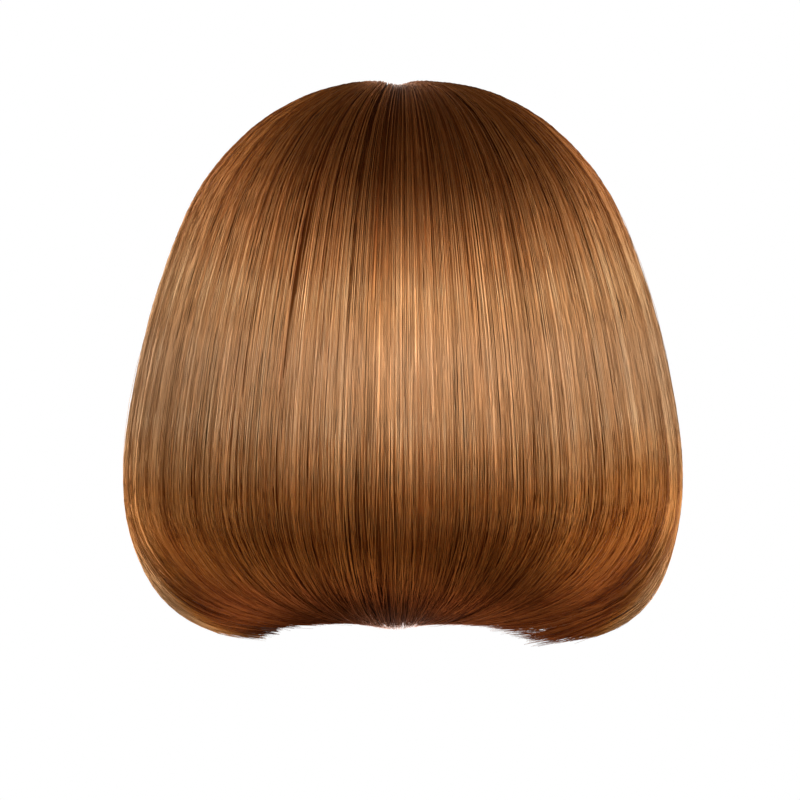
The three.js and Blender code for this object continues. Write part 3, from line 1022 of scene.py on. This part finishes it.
class WIG_OT_nape_hair(bpy.types.Operator):
    """Grow the shorter under layer at the nape"""

    bl_idname = "wig.nape_hair"
    bl_label = "Nape Hair"

    def execute(self, context):
        hair = context.scene.wig_hair
        section = top_section(
            (-NAPE_EDGE_ANGLE, NAPE_EDGE_ANGLE),
            hair,
            points=12,
            run=(0.57, 0.95),
            root_end=0.62,
            root_sink=0.0,
            parting_share=0.5,
            inner_share=0.7,
            loose_share=0.0,
            outer=lambda along: layer_depth(along) + LAYER_TO_LAYER,
            inner=lambda along: layer_depth(along) + LAYER_TO_LAYER + NAPE_DEPTH,
        )
        tones = ((0.0, hair.dark_colour), (0.6, hair.mid_colour), (1.0, hair.light_colour))
        material = hair_material("under_hair_fibre", tones, grey_stops(UNDER_HAIR_GREYS), hair)
        count = hair.nape_strands
        hair_piece("nape_hair_strands", "nape_hair", count, section, material, True)
        return {"FINISHED"}


def cloth_copy(name, node, bevel):
    """A merged copy of a cloth solid in quads, with its sharp edges rounded."""
    work = merged_solid(node)
    bmesh.ops.join_triangles(
        work,
        faces=work.faces,
        angle_face_threshold=math.radians(40),
        angle_shape_threshold=math.radians(60),
    )
    bmesh.ops.bevel(
        work,
        geom=[edge for edge in work.edges if edge.calc_face_angle(0) > SHARP_ANGLE],
        offset=bevel,
        offset_type="OFFSET",
        affect="EDGES",
        segments=2,
        profile=0.5,
        material=-1,
    )
    mesh = bpy.data.meshes.new(name)
    work.to_mesh(mesh)
    work.free()
    mesh.shade_smooth()
    piece = link_object(name, mesh)
    smooth = piece.modifiers.new("smooth", "SUBSURF")
    smooth.levels = smooth.render_levels = 1
    return piece


def rim_reach(azimuth):
    """How far the cap reaches below the origin at an azimuth."""
    angle = abs(azimuth)
    for (low, low_reach), (high, high_reach) in zip(CAP_RIM, CAP_RIM[1:]):
        if angle <= high:
            return mix(low_reach, high_reach, smoothstep(angle, low, high))
    return CAP_RIM[-1][1]


def rim_point(azimuth):
    """A point on the middle of the cap's rim, in metres."""
    grown = CAP_WALL / 2
    up = (HEAD_HALF_HEIGHT - rim_reach(azimuth)) / HEAD_HALF_HEIGHT
    across = (1 - abs(up) ** HEAD_SQUARENESS) ** (1 / HEAD_SQUARENESS)
    turn = math.radians(azimuth)
    return Vector((
        (HEAD_HALF_WIDTH + grown) * across * math.sin(turn),
        -(HEAD_HALF_LENGTH + grown) * across * math.cos(turn),
        (HEAD_HALF_HEIGHT + grown) * up - HEAD_HALF_HEIGHT,
    )) * MM


def rolled_hem(name, radius):
    """A round roll of cloth along the cap's rim."""
    curve = bpy.data.curves.new(name, "CURVE")
    curve.dimensions = "3D"
    curve.bevel_depth = radius
    curve.bevel_resolution = 2
    curve.resolution_u = 3
    spline = curve.splines.new("NURBS")
    places = [rim_point(azimuth) for azimuth in range(-180, 180, HEM_STEP)]
    spline.points.add(len(places) - 1)
    for point, place in zip(spline.points, places):
        point.co = (*place, 1)
    spline.use_cyclic_u = True
    spline.order_u = 3
    holder = link_object(name, curve)
    seen = holder.evaluated_get(bpy.context.evaluated_depsgraph_get())
    mesh = bpy.data.meshes.new_from_object(seen)
    bpy.data.objects.remove(holder)
    bpy.data.curves.remove(curve)
    mesh.name = name
    mesh.shade_smooth()
    return link_object(name, mesh)


def knit_material(name, dark, light, stitch):
    """Fine knitted cloth: small stitches as relief and shade, with a soft unevenness of colour."""
    material, tree, shader = new_material(name)
    place = tree.nodes.new("ShaderNodeTexCoord").outputs["Object"]
    cells = tree.nodes.new("ShaderNodeTexVoronoi")
    cells.feature = "SMOOTH_F1"
    set_inputs(tree, cells, {"Vector": place, "Scale": 1 / stitch, **STITCH_FORM})
    from_stitch = cells.outputs["Distance"]
    cloud = noise_texture(tree, place, CLOUD_SCALE, CLOUD_DETAIL)
    shade = math_node(tree, "SUBTRACT", cloud, math_node(tree, "MULTIPLY", from_stitch, STITCH_SHADE))
    set_inputs(tree, shader, {
        "Base Color": ramp(tree, ((0.0, dark), (KNIT_LIGHT_PLACE, light)), shade),
        "Normal": relief(tree, from_stitch, STITCH_BUMP, stitch * STITCH_RELIEF, invert=True),
        **KNIT_SURFACE,
    })
    return material


class WIG_OT_cap(bpy.types.Operator):
    """Make the cloth cap with its rolled hem"""

    bl_idname = "wig.cap"
    bl_label = "Cap"

    def execute(self, context):
        cloth = context.scene.wig_cloth
        material = knit_material("cap_knit", cloth.cap_dark, cloth.cap_light, cloth.cap_stitch)
        finish_piece(cloth_copy("cap_cloth", "cap", cloth.rim_round), "cap", material)
        finish_piece(rolled_hem("cap_hem", cloth.hem_radius), "cap", material)
        return {"FINISHED"}


class WIG_OT_parting(bpy.types.Operator):
    """Make the pale strip at the bottom of the parting"""

    bl_idname = "wig.parting"
    bl_label = "Parting"

    def execute(self, context):
        cloth = context.scene.wig_cloth
        stitch = cloth.strip_stitch
        material = knit_material("parting_lace", cloth.strip_dark, cloth.strip_light, stitch)
        strip = cloth_copy("parting_strip_cloth", "parting_strip", cloth.strip_round)
        finish_piece(strip, "parting_strip", material)
        return {"FINISHED"}


def look_from(item, way, distance):
    """Place a light or a camera away from the middle of the picture, and turn it to look there."""
    item.location = AIM + way * distance
    item.rotation_euler = (-way).to_track_quat("-Z", "Y").to_euler()


def soft_light(name, azimuth, elevation, distance, size, power):
    """A wide area light, at an azimuth and an elevation in degrees."""
    light = bpy.data.lights.new(name, "AREA")
    light.shape = "RECTANGLE"
    light.size, light.size_y = size
    light.energy = power
    turn = math.radians(azimuth)
    up = math.radians(elevation)
    way = Vector((math.sin(turn) * math.cos(up), -math.cos(turn) * math.cos(up), math.sin(up)))
    holder = link_object(name, light)
    look_from(holder, way, distance)
    holder.visible_camera = False


def studio_world():
    """White where the camera sees it, and otherwise a soft light that is brightest at the horizon."""
    world = bpy.data.worlds.new("studio")
    world.use_nodes = True
    tree = world.node_tree
    tree.nodes.clear()
    place = tree.nodes.new("ShaderNodeTexCoord").outputs["Generated"]
    split = add_node(tree, "SeparateXYZ", {"Vector": place})
    height = add_node(tree, "MapRange", {"Value": split.outputs["Z"], "From Min": -1, "From Max": 1})
    by_height = ramp(tree, grey_stops(SURROUND_BY_HEIGHT), height.outputs["Result"])
    by_front = ramp(tree, grey_stops(SURROUND_BY_FRONT), split.outputs["Y"])
    colour = multiply(tree, by_height, by_front)
    light = add_node(tree, "Background", {"Color": colour, "Strength": 3})
    seen = add_node(tree, "Background", {"Color": (1, 1, 1, 1)})
    path = tree.nodes.new("ShaderNodeLightPath")
    choose = add_node(tree, "MixShader", {
        "Fac": path.outputs["Is Camera Ray"],
        1: light.outputs["Background"],
        2: seen.outputs["Background"],
    })
    add_node(tree, "OutputWorld", {"Surface": choose.outputs["Shader"]})
    return world


def pale_floor(height, radius):
    """A round pale floor, which only the camera sees."""
    work = bmesh.new()
    bmesh.ops.create_circle(work, cap_ends=True, segments=128, radius=radius)
    bmesh.ops.translate(work, verts=work.verts, vec=(0, 0, height))
    mesh = bpy.data.meshes.new("floor")
    work.to_mesh(mesh)
    work.free()
    material, tree, shader = new_material("floor_pale")
    set_inputs(tree, shader, FLOOR_SURFACE)
    mesh.materials.append(material)
    floor = link_object("floor", mesh)
    floor.visible_diffuse = False
    floor.visible_glossy = False
    floor.visible_shadow = False
    return floor


class WIG_OT_stage(bpy.types.Operator):
    """Set up the floor, the soft lights and the camera behind the wig"""

    bl_idname = "wig.stage"
    bl_label = "Stage"

    def execute(self, context):
        stage = context.scene.wig_stage
        tips = CAD_BOX[0].z
        floor = pale_floor(tips - stage.floor_drop, stage.floor_radius)
        context.scene.world = studio_world()
        for name, azimuth, elevation, distance, size, power in LIGHTS:
            soft_light(name, azimuth, elevation, distance, size, getattr(stage, power))
        lens = bpy.data.cameras.new("camera")
        lens.sensor_width = SENSOR_WIDTH
        lens.lens = SENSOR_WIDTH * stage.camera_distance / stage.view_width
        camera = link_object("camera", lens)
        up = stage.camera_height
        look_from(camera, Vector((0, -math.cos(up), math.sin(up))), stage.camera_distance)
        context.scene.camera = camera
        context.scene.view_settings.view_transform = "Standard"
        return {"FINISHED"}


class WIG_PT_sidebar(bpy.types.Panel):
    """The wig's pieces and settings"""

    bl_idname = "WIG_PT_sidebar"
    bl_label = "Bob Wig"
    bl_space_type = "VIEW_3D"
    bl_region_type = "UI"
    bl_category = "Wig"

    def draw(self, context):
        for operator in OPERATORS:
            self.layout.operator(operator.bl_idname)
        for settings in (context.scene.wig_hair, context.scene.wig_cloth, context.scene.wig_stage):
            box = self.layout.box()
            for name in settings.__annotations__:
                box.prop(settings, name)


OPERATORS = (
    WIG_OT_stage,
    WIG_OT_cap,
    WIG_OT_parting,
    WIG_OT_back_hair,
    WIG_OT_side_hair,
    WIG_OT_nape_hair,
)
CLASSES = (WigHairSettings, WigClothSettings, WigStageSettings, *OPERATORS, WIG_PT_sidebar)


def register():
    for each in CLASSES:
        bpy.utils.register_class(each)
    bpy.types.Scene.wig_hair = PointerProperty(type=WigHairSettings)
    bpy.types.Scene.wig_cloth = PointerProperty(type=WigClothSettings)
    bpy.types.Scene.wig_stage = PointerProperty(type=WigStageSettings)


def unregister():
    del bpy.types.Scene.wig_stage
    del bpy.types.Scene.wig_cloth
    del bpy.types.Scene.wig_hair
    for each in reversed(CLASSES):
        bpy.utils.unregister_class(each)


def main():
    register()
    bpy.ops.wig.stage()
    bpy.ops.wig.cap()
    bpy.ops.wig.parting()
    bpy.ops.wig.back_hair()
    bpy.ops.wig.side_hair()
    bpy.ops.wig.nape_hair()


if __name__ == "__main__":
    main()
